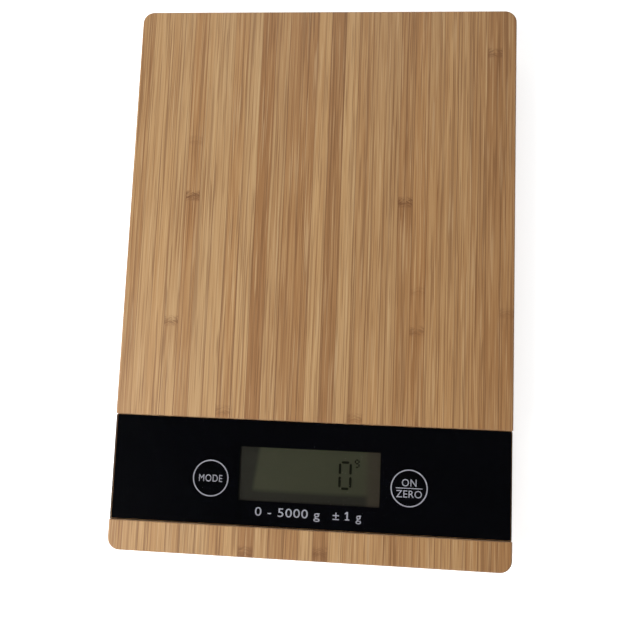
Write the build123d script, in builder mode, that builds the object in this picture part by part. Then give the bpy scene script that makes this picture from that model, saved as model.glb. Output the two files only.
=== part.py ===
"""Slim electronic kitchen scale: a bamboo platform on a plastic base with a sprung foot under each corner.

Frame: X to the right, Y away from the user, Z up, in millimetres. The origin is the middle of the outline,
on the surface that the feet stand on. The display panel is at the user's side, at negative Y.
"""

import os

from build123d import *

# Overall size
PLATE_W = 165.0  # bamboo platform, X
PLATE_D = 235.0  # bamboo platform, Y
PLATE_T = 7.0
PLATE_CORNER_R = 5.0
PLATE_EDGE_R = 0.9  # round-over all round
TOTAL_H = 17.0
PLATE_Z = TOTAL_H - PLATE_T  # underside of the platform, which closes the case
GAP = 0.05  # air left between curved faces that fit each other

# Display panel, inlaid in a groove that runs right across the platform
PANEL_W = 164.2
PANEL_D = 43.2
PANEL_T = 2.0
PANEL_Y = -83.4
PANEL_CORNER_R = 0.6
PANEL_CHAMFER = 0.2
PANEL_SINK = 0.1  # how far the panel lies below the bamboo
GROOVE_SIDE_GAP = 0.2
GROOVE_LIP_CHAMFER = 0.25
FILM_T = 0.15  # printed mask, and the adhesive under it
MASK_INSET = 0.1
TAPE_INSET = 0.7
TAPE_CLEARANCE = 1.0  # round the display frame and the keys
PANEL_Z = TOTAL_H - PANEL_SINK - PANEL_T
MASK_Z = PANEL_Z - GAP - FILM_T
TAPE_Z = MASK_Z - FILM_T  # floor of the groove

# Display window and the two touch keys, printed a little right of the middle
WINDOW_X = 0.35
WINDOW_Y = -84.0
WINDOW_W = 58.3
WINDOW_D = 22.0
WINDOW_CORNER_R = 0.4
KEY_REACH = 41.0  # each key's distance from the middle of the print
KEY_Y = -86.6
KEY_HOLE_R = 5.5

# Liquid crystal cell: two glasses, the front one with a contact ledge at the user's side
GLASS_W = 61.0
GLASS_T = 1.1
REAR_GLASS_D = 25.0
LEDGE_D = 3.0
LCD_TOP_Z = PANEL_Z - 0.8
LCD_LIP = 0.6
FRAME_WALL = 1.6
FRAME_GAP = 0.15
FRAME_CORNER_R = 1.2
FRAME_CLEARANCE = 0.3  # to the platform's opening, all round
LIP_CLEARANCE = 0.4  # from the window's edge to the frame's lip
REFLECTOR_INSET = 0.4
PEG_R = 0.7
PEG_PROUD = 0.3  # below the board
FRONT_GLASS_D = REAR_GLASS_D + LEDGE_D
FRONT_GLASS_Y = WINDOW_Y - LEDGE_D / 2
FRAME_W = GLASS_W + 2 * (FRAME_GAP + FRAME_WALL)
FRAME_D = FRONT_GLASS_D + 2 * (FRAME_GAP + FRAME_WALL)
CONTACT_STRIP_L = 57.0
CONTACT_STRIP_D = 1.8

# Circuit board, screwed against the underside of the platform
BOARD_X = 0.5
BOARD_Y = -85.75
BOARD_W = 96.0
BOARD_D = 35.5
BOARD_T = 1.2
BOARD_Z = PLATE_Z - BOARD_T
BOARD_SCREW_X = 44.5
BOARD_SCREW_Y = 14.0
COMPONENTS = (  # x, y, width, depth and height of each part soldered beneath it
    (-26.0, -92.0, 2.0, 1.25, 0.7),
    (-26.0, -88.0, 2.0, 1.25, 0.7),
    (-21.0, -95.0, 1.25, 2.0, 0.7),
    (14.0, -92.0, 2.0, 1.25, 0.7),
    (14.0, -88.0, 2.0, 1.25, 0.7),
    (18.5, -90.0, 3.2, 1.6, 0.6),
    (-14.0, -80.0, 1.25, 2.0, 0.7),
    (24.0, -97.0, 3.5, 2.8, 1.9),
)
CRYSTAL_X = -33.0
CRYSTAL_Y = -96.0
CRYSTAL_L = 8.0
CRYSTAL_W = 3.4
CRYSTAL_H = 1.9

# Base shell
SHELL_W = 153.0
SHELL_D = 223.0
SHELL_CORNER_R = 10.0
SHELL_Z = 2.5
WALL = 2.0
FLOOR_Z = SHELL_Z + WALL
SHELL_EDGE_R = 2.4
RIB_T = 1.2
RIB_H = 1.6
CROSS_RIBS_Y = (-62.0, 15.0, 45.0, 72.0)
LONG_RIBS_X = (-44.0, 44.0)
LONG_RIB_L = 144.0
BOSS_R = 3.5
BASE_SCREW_X = 69.5
BASE_SCREW_Y = 55.0
REAR_SCREW_X = 22.0
REAR_SCREW_Y = 104.0
BASE_SCREW_SEAT_Z = 7.0
BASE_SCREW_HEAD_R = 2.5
BASE_SCREW_HEAD_T = 1.8
BASE_SCREW_R = 1.4
BASE_SCREW_TIP_Z = PLATE_Z + 5.0
HEAD_CLEARANCE = 0.3
SHANK_CLEARANCE = 0.2
PILOT_SPARE = 0.4  # how far a pilot hole goes past the screw's tip

# Feet and load cells
FOOT_X = 61.5
FOOT_Y = 90.0
FOOT_R = 7.5
FOOT_FLANGE_R = 8.7
PAD_R = 6.2
PAD_T = 1.6
PAD_PROUD = 1.0
FOOT_TOP_Z = 4.9  # underside of the flange
FOOT_FLANGE_T = 0.9
FOOT_NECK_R = 3.0
FOOT_CLEARANCE = 0.4
FOOT_RING_T = 1.5  # raised ring in the case round each foot
CELL_W = 20.0
CELL_T = 1.2
CELL_Z = 7.0
TONGUE_W = 7.0
TONGUE_ROOT = -6.0
TONGUE_END = 6.8
SLOT_W = 1.2
RIVET_R = 1.5
RIVET_HEAD_R = 2.4
RIVET_HEAD_T = 0.8
CARRIER_W = 24.0
CARRIER_OPEN = 15.0
CARRIER_Z = 6.3
EAR_L = 6.5
EAR_W = 7.0
EAR_HOLE = CARRIER_W / 2 + 3.2
GAUGE_L = 5.0
GAUGE_W = 5.0
GAUGE_T = 0.7
GAUGE_END = -9.0  # end of the gauge's coating, where the wires start
CARRIER_NOTCH_W = 6.4

# Small screws that hold the board and the load cell carriers
SMALL_SCREW_R = 1.1
SMALL_HEAD_R = 2.1
SMALL_HEAD_T = 1.4
SMALL_SCREW_TIP_Z = 13.2

# Battery compartment, closed by a door that swings on two moulded pins
CELL_Y = -30.0
COIN_R = 10.0
COIN_H = 3.2
COIN_Z = 4.6
COIN_CAP_R = 8.7
COIN_CAP_T = 0.4
COIN_MARK_L = 3.0  # the plus sign pressed into the can
COIN_MARK_W = 0.6
WELL_W = 36.0
WELL_FRONT_Y = -51.0
WELL_REAR_Y = -9.0
WELL_ROOF_Z = 8.8
WELL_TOP_Z = 9.7
CAVITY_W = 27.0
CAVITY_D = 32.0
COIN_WALL_R = COIN_R + 0.4
DOOR_W = 32.0
DOOR_T = 1.8
DOOR_FRONT_Y = -48.4
DOOR_GAP = 0.25
DOOR_SEAT_GAP = 0.15
DOOR_MARK_DEPTH = 0.4  # sunk arrow and grip slots
HINGE_Y = -12.3
HINGE_Z = SHELL_Z + DOOR_T / 2
HINGE_PIN_R = 0.6
HINGE_PIN_L = 1.5
NIP_X = 10.0
NIP_R = 0.6
NIP_CLEARANCE = 0.02  # stands for the squeeze that holds the door shut
SCOOP_R = 5.5
SCOOP_DEPTH = 0.9
LEAF_T = 0.3
LEAF_W = 4.0
TAIL_X = 20.0

LABEL_W = 62.0
LABEL_D = 34.0
LABEL_T = 0.1
LABEL_Y = 36.0

WIRE_R = 0.5
WIRE_PITCH = 1.25
WIRE_LOW_Z = 7.4
WIRE_UNDER_BOARD_Z = BOARD_Z - WIRE_R - 0.01
FRONT_WIRE_XS = (49.1, 43.5)
REAR_WIRE_X = 39.0

CORNERS = {
    "front_left": (-1, -1),
    "front_right": (1, -1),
    "rear_left": (-1, 1),
    "rear_right": (1, 1),
}
KEYS = {"unit_key": WINDOW_X - KEY_REACH, "tare_key": WINDOW_X + KEY_REACH}
BASE_SCREWS = [(x, y) for x in (-BASE_SCREW_X, BASE_SCREW_X) for y in (-BASE_SCREW_Y, 0, BASE_SCREW_Y)]
BASE_SCREWS += [(-REAR_SCREW_X, REAR_SCREW_Y), (REAR_SCREW_X, REAR_SCREW_Y)]
BOARD_SCREWS = [(BOARD_X + sx * BOARD_SCREW_X, BOARD_Y + sy * BOARD_SCREW_Y) for sx, sy in CORNERS.values()]
FOOT_PLACES = [(sx * FOOT_X, sy * FOOT_Y) for sx, sy in CORNERS.values()]
CARRIER_SCREWS = [(x, y + ear) for x, y in FOOT_PLACES for ear in (-EAR_HOLE, EAR_HOLE)]


def save(builder, name):
    """Labels a finished piece and writes it as its own STEP file."""
    builder.part.label = name
    export_step(builder.part, f"parts/{name}.step")


def corner_plane(side, z):
    """A level plane on a foot's axis. Its own X points out of the case."""
    return Plane(origin=(side[0] * FOOT_X, side[1] * FOOT_Y, z), x_dir=(side[0], 0, 0), z_dir=(0, 0, 1))


def at_level(z):
    return Plane.XY.offset(z)


def make_platform():
    """Bamboo board with the panel's groove, the display and key openings and pilot holes from below."""
    groove_d = PANEL_D + 2 * GROOVE_SIDE_GAP
    with BuildPart() as platform:
        with BuildSketch(at_level(PLATE_Z)):
            RectangleRounded(PLATE_W, PLATE_D, PLATE_CORNER_R)
        extrude(amount=PLATE_T)
        for face in (platform.faces().sort_by(Axis.Z)[-1], platform.faces().sort_by(Axis.Z)[0]):
            fillet(face.edges(), PLATE_EDGE_R)
        with BuildSketch(at_level(TAPE_Z)):
            with Locations((0, PANEL_Y)):
                Rectangle(PLATE_W + 2, groove_d)
        extrude(amount=PLATE_T, mode=Mode.SUBTRACT)
        lips = platform.edges().filter_by(Axis.X).group_by(Axis.Z)[-1]
        groove_lips = [e for e in lips if abs(abs(e.center().Y - PANEL_Y) - groove_d / 2) < GAP]
        chamfer(groove_lips, GROOVE_LIP_CHAMFER)
        with BuildSketch(at_level(PLATE_Z)):
            with Locations((WINDOW_X, FRONT_GLASS_Y)):
                RectangleRounded(FRAME_W + 2 * FRAME_CLEARANCE, FRAME_D + 2 * FRAME_CLEARANCE, FRAME_CORNER_R)
            with Locations(*[(x, KEY_Y) for x in KEYS.values()]):
                Circle(KEY_HOLE_R)
        extrude(amount=PLATE_T, mode=Mode.SUBTRACT)
        with BuildSketch(at_level(PLATE_Z)):
            with Locations(*BOARD_SCREWS, *CARRIER_SCREWS):
                Circle(SMALL_SCREW_R + GAP)
        extrude(amount=SMALL_SCREW_TIP_Z + PILOT_SPARE - PLATE_Z, mode=Mode.SUBTRACT)
        with BuildSketch(at_level(PLATE_Z)):
            with Locations(*BASE_SCREWS):
                Circle(BASE_SCREW_R + GAP)
        extrude(amount=BASE_SCREW_TIP_Z + PILOT_SPARE - PLATE_Z, mode=Mode.SUBTRACT)
    save(platform, "bamboo_platform")


def make_panel():
    """Clear panel sheet, the printed mask film under it and the adhesive that holds both in the groove."""
    with BuildPart() as panel:
        with BuildSketch(at_level(PANEL_Z)):
            with Locations((0, PANEL_Y)):
                RectangleRounded(PANEL_W, PANEL_D, PANEL_CORNER_R)
        extrude(amount=PANEL_T)
        chamfer(panel.faces().sort_by(Axis.Z)[-1].edges(), PANEL_CHAMFER)
    save(panel, "display_panel")

    with BuildPart() as mask:
        with BuildSketch(at_level(MASK_Z)):
            with Locations((0, PANEL_Y)):
                RectangleRounded(PANEL_W - 2 * MASK_INSET, PANEL_D - 2 * MASK_INSET, PANEL_CORNER_R)
            with Locations((WINDOW_X, WINDOW_Y)):
                RectangleRounded(WINDOW_W, WINDOW_D, WINDOW_CORNER_R, mode=Mode.SUBTRACT)
        extrude(amount=FILM_T)
    save(mask, "panel_mask")

    with BuildPart() as tape:
        with BuildSketch(at_level(TAPE_Z)):
            with Locations((0, PANEL_Y)):
                Rectangle(PANEL_W - 2 * TAPE_INSET, PANEL_D - 2 * TAPE_INSET)
            with Locations((WINDOW_X, FRONT_GLASS_Y)):
                Rectangle(FRAME_W + 2 * TAPE_CLEARANCE, FRAME_D + 2 * TAPE_CLEARANCE, mode=Mode.SUBTRACT)
            with Locations(*[(x, KEY_Y) for x in KEYS.values()]):
                Circle(KEY_HOLE_R + TAPE_CLEARANCE, mode=Mode.SUBTRACT)
        extrude(amount=FILM_T)
    save(tape, "panel_tape")


def make_lcd():
    """Liquid crystal cell, its reflector film, the frame that holds it, and the strips it stands on."""
    rear_glass_z = LCD_TOP_Z - 2 * GLASS_T
    with BuildPart() as lcd:
        with BuildSketch(at_level(LCD_TOP_Z - GLASS_T)):
            with Locations((WINDOW_X, FRONT_GLASS_Y)):
                Rectangle(GLASS_W, FRONT_GLASS_D)
        extrude(amount=GLASS_T)
        with BuildSketch(at_level(rear_glass_z)):
            with Locations((WINDOW_X, WINDOW_Y)):
                Rectangle(GLASS_W, REAR_GLASS_D)
        extrude(amount=GLASS_T)
    save(lcd, "lcd_cell")

    with BuildPart() as reflector:
        with BuildSketch(at_level(rear_glass_z - FILM_T)):
            with Locations((WINDOW_X, WINDOW_Y)):
                Rectangle(GLASS_W - 2 * REFLECTOR_INSET, REAR_GLASS_D - 2 * REFLECTOR_INSET)
        extrude(amount=FILM_T)
    save(reflector, "lcd_reflector")

    with BuildPart() as frame:
        with BuildSketch(at_level(PLATE_Z)):
            with Locations((WINDOW_X, FRONT_GLASS_Y)):
                RectangleRounded(FRAME_W, FRAME_D, FRAME_CORNER_R)
        extrude(amount=LCD_TOP_Z + LCD_LIP - PLATE_Z)
        with BuildSketch(at_level(PLATE_Z)):
            with Locations((WINDOW_X, FRONT_GLASS_Y)):
                Rectangle(FRAME_W - 2 * FRAME_WALL, FRAME_D - 2 * FRAME_WALL)
        extrude(amount=LCD_TOP_Z - PLATE_Z, mode=Mode.SUBTRACT)
        with BuildSketch(at_level(LCD_TOP_Z)):
            with Locations((WINDOW_X, WINDOW_Y)):
                Rectangle(WINDOW_W + 2 * LIP_CLEARANCE, WINDOW_D + 2 * LIP_CLEARANCE)
        extrude(amount=LCD_LIP, mode=Mode.SUBTRACT)
        with BuildSketch(at_level(PLATE_Z)):
            with Locations((WINDOW_X, FRONT_GLASS_Y)):
                with GridLocations(FRAME_W - FRAME_WALL, FRAME_D - FRAME_WALL, 2, 2):
                    Circle(PEG_R)
        extrude(amount=-BOARD_T - PEG_PROUD)
    save(frame, "lcd_frame")

    strips = {
        "zebra_strip": (FRONT_GLASS_Y - FRONT_GLASS_D / 2 + LEDGE_D / 2, LCD_TOP_Z - GLASS_T),
        "lcd_support_foam": (WINDOW_Y + REAR_GLASS_D / 2 - LEDGE_D / 2, rear_glass_z - FILM_T),
    }
    for name, (y, top_z) in strips.items():
        with BuildPart() as strip:
            with BuildSketch(at_level(PLATE_Z)):
                with Locations((WINDOW_X, y)):
                    Rectangle(CONTACT_STRIP_L, CONTACT_STRIP_D)
            extrude(amount=top_z - PLATE_Z)
        save(strip, name)


def make_board():
    """Circuit board with the chip under its blob of resin, and the small parts soldered beneath it."""
    with BuildPart() as board:
        with BuildSketch(at_level(BOARD_Z)):
            with Locations((BOARD_X, BOARD_Y)):
                RectangleRounded(BOARD_W, BOARD_D, 1.0)
            with Locations(*BOARD_SCREWS):
                Circle(SMALL_SCREW_R + SHANK_CLEARANCE, mode=Mode.SUBTRACT)
            with Locations((WINDOW_X, FRONT_GLASS_Y)):
                with GridLocations(FRAME_W - FRAME_WALL, FRAME_D - FRAME_WALL, 2, 2):
                    Circle(PEG_R + 0.1, mode=Mode.SUBTRACT)
        extrude(amount=BOARD_T)
    save(board, "main_board")

    blob_r = 6.0
    blob_h = 1.5
    with BuildPart() as blob:
        with BuildSketch(at_level(BOARD_Z)):
            with Locations((0, BOARD_Y)):
                Ellipse(blob_r, blob_r * 0.85)
        extrude(amount=-blob_h)
        fillet(blob.faces().sort_by(Axis.Z)[0].edges(), blob_h * 0.85)
    save(blob, "chip_resin")

    with BuildPart() as chips:
        for x, y, width, depth, height in COMPONENTS:
            with BuildSketch(at_level(BOARD_Z)):
                with Locations((x, y)):
                    Rectangle(width, depth)
            extrude(amount=-height)
    save(chips, "board_components")

    with BuildPart() as crystal:
        with BuildSketch(at_level(BOARD_Z)):
            with Locations((CRYSTAL_X, CRYSTAL_Y)):
                SlotOverall(CRYSTAL_L, CRYSTAL_W)
        extrude(amount=-CRYSTAL_H)
        fillet(crystal.faces().sort_by(Axis.Z)[0].edges(), 0.4)
    save(crystal, "clock_crystal")


def make_key_springs():
    """Coiled springs that carry each touch key's signal from the panel down to the board."""
    wire_r = 0.25
    coil_r = 3.4
    turns = 4
    low = PLATE_Z + wire_r + GAP
    height = MASK_Z - wire_r - GAP - low
    for name, x in KEYS.items():
        with BuildPart() as spring:
            with BuildLine() as coil:
                Helix(pitch=height / turns, height=height, radius=coil_r, center=(x, KEY_Y, low))
            with BuildSketch(Plane(coil.line @ 0, z_dir=coil.line % 0)):
                Circle(wire_r)
            sweep(path=coil.line, is_frenet=True)
        save(spring, f"{name}_spring")


def make_screws(name, places, seat_z, head_r, head_t, shank_r, tip_z):
    """A set of like screws, each with a cross recess in its head, driven upwards."""
    recess_l = head_r * 1.2
    recess_w = head_r * 0.28
    with BuildPart() as screws:
        with BuildSketch(at_level(seat_z)):
            with Locations(*places):
                Circle(head_r)
        extrude(amount=-head_t)
        fillet(screws.faces().group_by(Axis.Z)[0].edges(), head_t * 0.3)
        with BuildSketch(at_level(seat_z)):
            with Locations(*places):
                Circle(shank_r)
        extrude(amount=tip_z - seat_z)
        chamfer(screws.faces().group_by(Axis.Z)[-1].edges(), shank_r * 0.6)
        with BuildSketch(at_level(seat_z - head_t)):
            with Locations(*places):
                Rectangle(recess_l, recess_w)
                Rectangle(recess_w, recess_l)
        extrude(amount=head_t * 0.6, mode=Mode.SUBTRACT)
    save(screws, name)


def make_base_shell():
    """Open tray under the platform, with foot holes, screw posts, ribs and the battery compartment."""
    with BuildPart() as shell:
        with BuildSketch(at_level(SHELL_Z)):
            RectangleRounded(SHELL_W, SHELL_D, SHELL_CORNER_R)
        extrude(amount=PLATE_Z - SHELL_Z)
        fillet(shell.faces().sort_by(Axis.Z)[0].edges(), SHELL_EDGE_R)
        with BuildSketch(at_level(FLOOR_Z)):
            RectangleRounded(SHELL_W - 2 * WALL, SHELL_D - 2 * WALL, SHELL_CORNER_R - WALL)
        extrude(amount=PLATE_Z - FLOOR_Z, mode=Mode.SUBTRACT)

        inner_w = SHELL_W - 2 * WALL
        inner_d = SHELL_D - 2 * WALL
        with BuildSketch(at_level(FLOOR_Z)):
            with Locations(*[(0, y) for y in CROSS_RIBS_Y]):
                Rectangle(inner_w, RIB_T)
            with Locations(*[(x, 0) for x in LONG_RIBS_X]):
                Rectangle(RIB_T, LONG_RIB_L)
            with Locations((0, (WELL_REAR_Y + inner_d / 2) / 2)):
                Rectangle(RIB_T, inner_d / 2 - WELL_REAR_Y)
        extrude(amount=RIB_H)

        with BuildSketch(at_level(FLOOR_Z)):
            with Locations(*BASE_SCREWS):
                Circle(BOSS_R)
        extrude(amount=PLATE_Z - FLOOR_Z)
        with BuildSketch(at_level(FLOOR_Z)):
            with Locations(*FOOT_PLACES):
                Circle(FOOT_FLANGE_R + FOOT_RING_T)
        extrude(amount=RIB_H)
        with BuildSketch(at_level(SHELL_Z)):
            with Locations((0, (WELL_FRONT_Y + WELL_REAR_Y) / 2)):
                Rectangle(WELL_W, WELL_REAR_Y - WELL_FRONT_Y)
        extrude(amount=WELL_TOP_Z - SHELL_Z)

        with BuildSketch(at_level(SHELL_Z)):
            with Locations(*BASE_SCREWS):
                Circle(BASE_SCREW_R + SHANK_CLEARANCE)
        extrude(amount=PLATE_Z - SHELL_Z, mode=Mode.SUBTRACT)
        with BuildSketch(at_level(SHELL_Z)):
            with Locations(*BASE_SCREWS):
                Circle(BASE_SCREW_HEAD_R + HEAD_CLEARANCE)
        extrude(amount=BASE_SCREW_SEAT_Z - SHELL_Z, mode=Mode.SUBTRACT)

        with BuildSketch(at_level(SHELL_Z)):
            with Locations(*FOOT_PLACES):
                Circle(FOOT_R + FOOT_CLEARANCE)
        extrude(amount=PLATE_Z - SHELL_Z, mode=Mode.SUBTRACT)
        with BuildSketch(at_level(FLOOR_Z)):
            with Locations(*FOOT_PLACES):
                Circle(FOOT_FLANGE_R + FOOT_CLEARANCE)
        extrude(amount=PLATE_Z - FLOOR_Z, mode=Mode.SUBTRACT)

        door_seat_z = SHELL_Z + DOOR_T + DOOR_SEAT_GAP
        recess_rear_y = HINGE_Y + DOOR_T / 2 + DOOR_GAP
        recess_front_y = DOOR_FRONT_Y - DOOR_GAP
        with BuildSketch(at_level(SHELL_Z)):
            with Locations((0, (recess_rear_y + recess_front_y) / 2)):
                Rectangle(DOOR_W + 2 * DOOR_GAP, recess_rear_y - recess_front_y)
        extrude(amount=door_seat_z - SHELL_Z, mode=Mode.SUBTRACT)
        with BuildSketch(at_level(door_seat_z)):
            with Locations((0, CELL_Y)):
                RectangleRounded(CAVITY_W, CAVITY_D, 1.5)
                Circle(COIN_WALL_R + 1.2, mode=Mode.SUBTRACT)
                Circle(COIN_WALL_R)
                Rectangle(CAVITY_W, LEAF_W + 1.2)
        extrude(amount=WELL_ROOF_Z - door_seat_z, mode=Mode.SUBTRACT)
        with BuildSketch(at_level(WELL_ROOF_Z - 2 * LEAF_T)):
            with Locations((0, CELL_Y)):
                Rectangle(WELL_W + 2, LEAF_W + 0.6)
        extrude(amount=2 * LEAF_T, mode=Mode.SUBTRACT)
        pin_bore_l = DOOR_W + 2 * HINGE_PIN_L + 4 * GAP
        with BuildSketch(Plane.YZ.offset(-pin_bore_l / 2)):
            with Locations((HINGE_Y, HINGE_Z)):
                Circle(HINGE_PIN_R + GAP)
        extrude(amount=pin_bore_l, mode=Mode.SUBTRACT)
        with BuildSketch(at_level(SHELL_Z)):
            with Locations((0, recess_front_y)):
                Circle(SCOOP_R)
        extrude(amount=SCOOP_DEPTH, mode=Mode.SUBTRACT)
    save(shell, "base_shell")


def make_rating_label():
    """Label stuck under the case, behind the battery door."""
    with BuildPart() as label:
        with BuildSketch(at_level(SHELL_Z)):
            with Locations((0, LABEL_Y)):
                RectangleRounded(LABEL_W, LABEL_D, 1.5)
        extrude(amount=-LABEL_T)
    save(label, "rating_label")


def make_battery_door():
    """Door plate with a round hinge edge, two pins, two ribs that nip the recess, and a sunk arrow."""
    with BuildPart() as door:
        with BuildSketch(at_level(SHELL_Z)):
            with Locations((0, (DOOR_FRONT_Y + HINGE_Y) / 2)):
                Rectangle(DOOR_W, HINGE_Y - DOOR_FRONT_Y)
        extrude(amount=DOOR_T)
        fillet(door.edges().filter_by(Axis.Z).group_by(Axis.Y)[0], 0.8)
        with BuildSketch(Plane.YZ.offset(-DOOR_W / 2)):
            with Locations((HINGE_Y, HINGE_Z)):
                Circle(DOOR_T / 2)
        extrude(amount=DOOR_W)
        with BuildSketch(Plane.YZ.offset(-DOOR_W / 2 - HINGE_PIN_L)):
            with Locations((HINGE_Y, HINGE_Z)):
                Circle(HINGE_PIN_R)
        extrude(amount=DOOR_W + 2 * HINGE_PIN_L)
        nip_y = DOOR_FRONT_Y - DOOR_GAP + NIP_CLEARANCE + NIP_R
        with BuildSketch(at_level(SHELL_Z)):
            with Locations((-NIP_X, nip_y), (NIP_X, nip_y)):
                Circle(NIP_R)
        extrude(amount=DOOR_T)
        with BuildSketch(at_level(SHELL_Z)):
            with Locations((0, DOOR_FRONT_Y + 8)):
                Triangle(a=6.0, b=6.0, c=6.0)
        extrude(amount=DOOR_MARK_DEPTH, mode=Mode.SUBTRACT)
        with BuildSketch(at_level(SHELL_Z)):
            with Locations(*[(0, DOOR_FRONT_Y + 13 + 1.8 * i) for i in range(4)]):
                SlotOverall(14.0, 0.8)
        extrude(amount=DOOR_MARK_DEPTH, mode=Mode.SUBTRACT)
    save(door, "battery_door")


def make_coin_cell():
    """Coin cell with its positive face down, towards the door, and its smaller cap up."""
    with BuildPart() as coin:
        with BuildSketch(at_level(COIN_Z)):
            with Locations((0, CELL_Y)):
                Circle(COIN_R)
        extrude(amount=COIN_H - COIN_CAP_T)
        fillet(coin.faces().sort_by(Axis.Z)[0].edges(), 0.5)
        with BuildSketch(at_level(COIN_Z + COIN_H - COIN_CAP_T)):
            with Locations((0, CELL_Y)):
                Circle(COIN_CAP_R)
        extrude(amount=COIN_CAP_T)
        with BuildSketch(at_level(COIN_Z)):
            with Locations((0, CELL_Y + 4.5)):
                Rectangle(COIN_MARK_L, COIN_MARK_W)
                Rectangle(COIN_MARK_W, COIN_MARK_L)
        extrude(amount=0.12, mode=Mode.SUBTRACT)
    save(coin, "coin_cell")


def make_battery_contacts():
    """Two bent leaves of spring steel: one on the roof for the cap, one beside the cell for its can."""
    roof_z = WELL_ROOF_Z - LEAF_T / 2 - 0.02
    cap_z = COIN_Z + COIN_H + LEAF_T / 2 + 0.02
    side_x = COIN_R + LEAF_T / 2 + 0.15
    leaves = {
        "battery_contact_negative": [(-TAIL_X, roof_z), (-4, roof_z), (0, cap_z), (3.5, roof_z - 0.15)],
        "battery_contact_positive": [(TAIL_X, roof_z), (12.4, roof_z), (side_x, 6.4), (12.2, 5.2)],
    }
    for name, points in leaves.items():
        with BuildPart() as leaf:
            with BuildSketch(Plane.XZ.offset(-CELL_Y - LEAF_W / 2)):
                with BuildLine():
                    Polyline(*points)
                trace(line_width=LEAF_T)
            extrude(amount=LEAF_W)
        save(leaf, name)


def make_foot(corner, side):
    """Foot that hangs on its load cell's tongue by a headed rivet, and the rubber pad under it."""
    with BuildPart() as foot:
        for low, high, radius in (
            (PAD_PROUD, FOOT_TOP_Z, FOOT_R),
            (FOOT_TOP_Z, FOOT_TOP_Z + FOOT_FLANGE_T, FOOT_FLANGE_R),
            (FOOT_TOP_Z + FOOT_FLANGE_T, CELL_Z - GAP, FOOT_NECK_R),
            (CELL_Z - GAP, CELL_Z + CELL_T + GAP, RIVET_R),
            (CELL_Z + CELL_T + GAP, CELL_Z + CELL_T + RIVET_HEAD_T, RIVET_HEAD_R),
        ):
            with BuildSketch(corner_plane(side, low)):
                Circle(radius)
            extrude(amount=high - low)
        fillet(foot.faces().sort_by(Axis.Z)[0].edges(), 0.5)
        with BuildSketch(corner_plane(side, PAD_PROUD)):
            Circle(PAD_R + 0.1)
        extrude(amount=PAD_T - PAD_PROUD, mode=Mode.SUBTRACT)
    save(foot, f"foot_{corner}")

    with BuildPart() as pad:
        with BuildSketch(corner_plane(side, 0)):
            Circle(PAD_R)
        extrude(amount=PAD_T)
        fillet(pad.faces().sort_by(Axis.Z)[0].edges(), 0.3)
    save(pad, f"foot_pad_{corner}")


def make_load_cell(corner, side):
    """Stamped steel load cell, whose middle tongue bends, with its coated strain gauge and its carrier."""
    slot_w = TONGUE_W + 2 * SLOT_W
    with BuildPart() as cell:
        with BuildSketch(corner_plane(side, CELL_Z)):
            RectangleRounded(CELL_W, CELL_W, 1.5)
            with Locations(((TONGUE_ROOT + TONGUE_END + SLOT_W) / 2, 0)):
                Rectangle(TONGUE_END + SLOT_W - TONGUE_ROOT, slot_w, mode=Mode.SUBTRACT)
            with Locations(((TONGUE_ROOT + TONGUE_END) / 2, 0)):
                Rectangle(TONGUE_END - TONGUE_ROOT, TONGUE_W)
            Circle(RIVET_R + 0.1, mode=Mode.SUBTRACT)
        extrude(amount=CELL_T)
    save(cell, f"load_cell_{corner}")

    with BuildPart() as gauge:
        with BuildSketch(corner_plane(side, CELL_Z + CELL_T)):
            with Locations((GAUGE_END + GAUGE_L / 2, 0)):
                RectangleRounded(GAUGE_L, GAUGE_W, 0.8)
        extrude(amount=GAUGE_T)
        fillet(gauge.faces().sort_by(Axis.Z)[-1].edges(), 0.3)
    save(gauge, f"strain_gauge_{corner}")

    seat_z = CELL_Z + CELL_T
    with BuildPart() as carrier:
        with BuildSketch(corner_plane(side, CARRIER_Z)):
            RectangleRounded(CARRIER_W, CARRIER_W, 2.0)
        extrude(amount=PLATE_Z - CARRIER_Z)
        with BuildSketch(corner_plane(side, seat_z)):
            RectangleRounded(EAR_W, CARRIER_W + 2 * EAR_L, EAR_W / 2 - 0.1)
        extrude(amount=PLATE_Z - seat_z)
        with BuildSketch(corner_plane(side, CARRIER_Z)):
            Rectangle(CELL_W + 0.3, CELL_W + 0.3)
        extrude(amount=seat_z - CARRIER_Z, mode=Mode.SUBTRACT)
        with BuildSketch(corner_plane(side, seat_z)):
            Rectangle(CARRIER_OPEN, CARRIER_OPEN)
        extrude(amount=PLATE_Z - seat_z, mode=Mode.SUBTRACT)
        with BuildSketch(corner_plane(side, seat_z)):
            with Locations((-CARRIER_W / 2, 0)):
                Rectangle(CARRIER_W / 2, CARRIER_NOTCH_W)
        extrude(amount=GAUGE_T + 0.5, mode=Mode.SUBTRACT)
        with BuildSketch(corner_plane(side, CARRIER_Z)):
            with Locations((-CARRIER_W / 2, 0)):
                Rectangle(CARRIER_W / 2, CARRIER_NOTCH_W)
        extrude(amount=seat_z - CARRIER_Z, mode=Mode.SUBTRACT)
        with BuildSketch(corner_plane(side, CARRIER_Z)):
            with Locations((0, -CELL_W / 2), (0, CELL_W / 2)):
                Rectangle(6.0, 1.5)
        extrude(amount=CELL_Z - GAP - CARRIER_Z)
        with BuildSketch(corner_plane(side, seat_z)):
            with Locations((0, -EAR_HOLE), (0, EAR_HOLE)):
                Circle(SMALL_SCREW_R + 0.1)
        extrude(amount=PLATE_Z - seat_z, mode=Mode.SUBTRACT)
    save(carrier, f"cell_carrier_{corner}")


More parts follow.
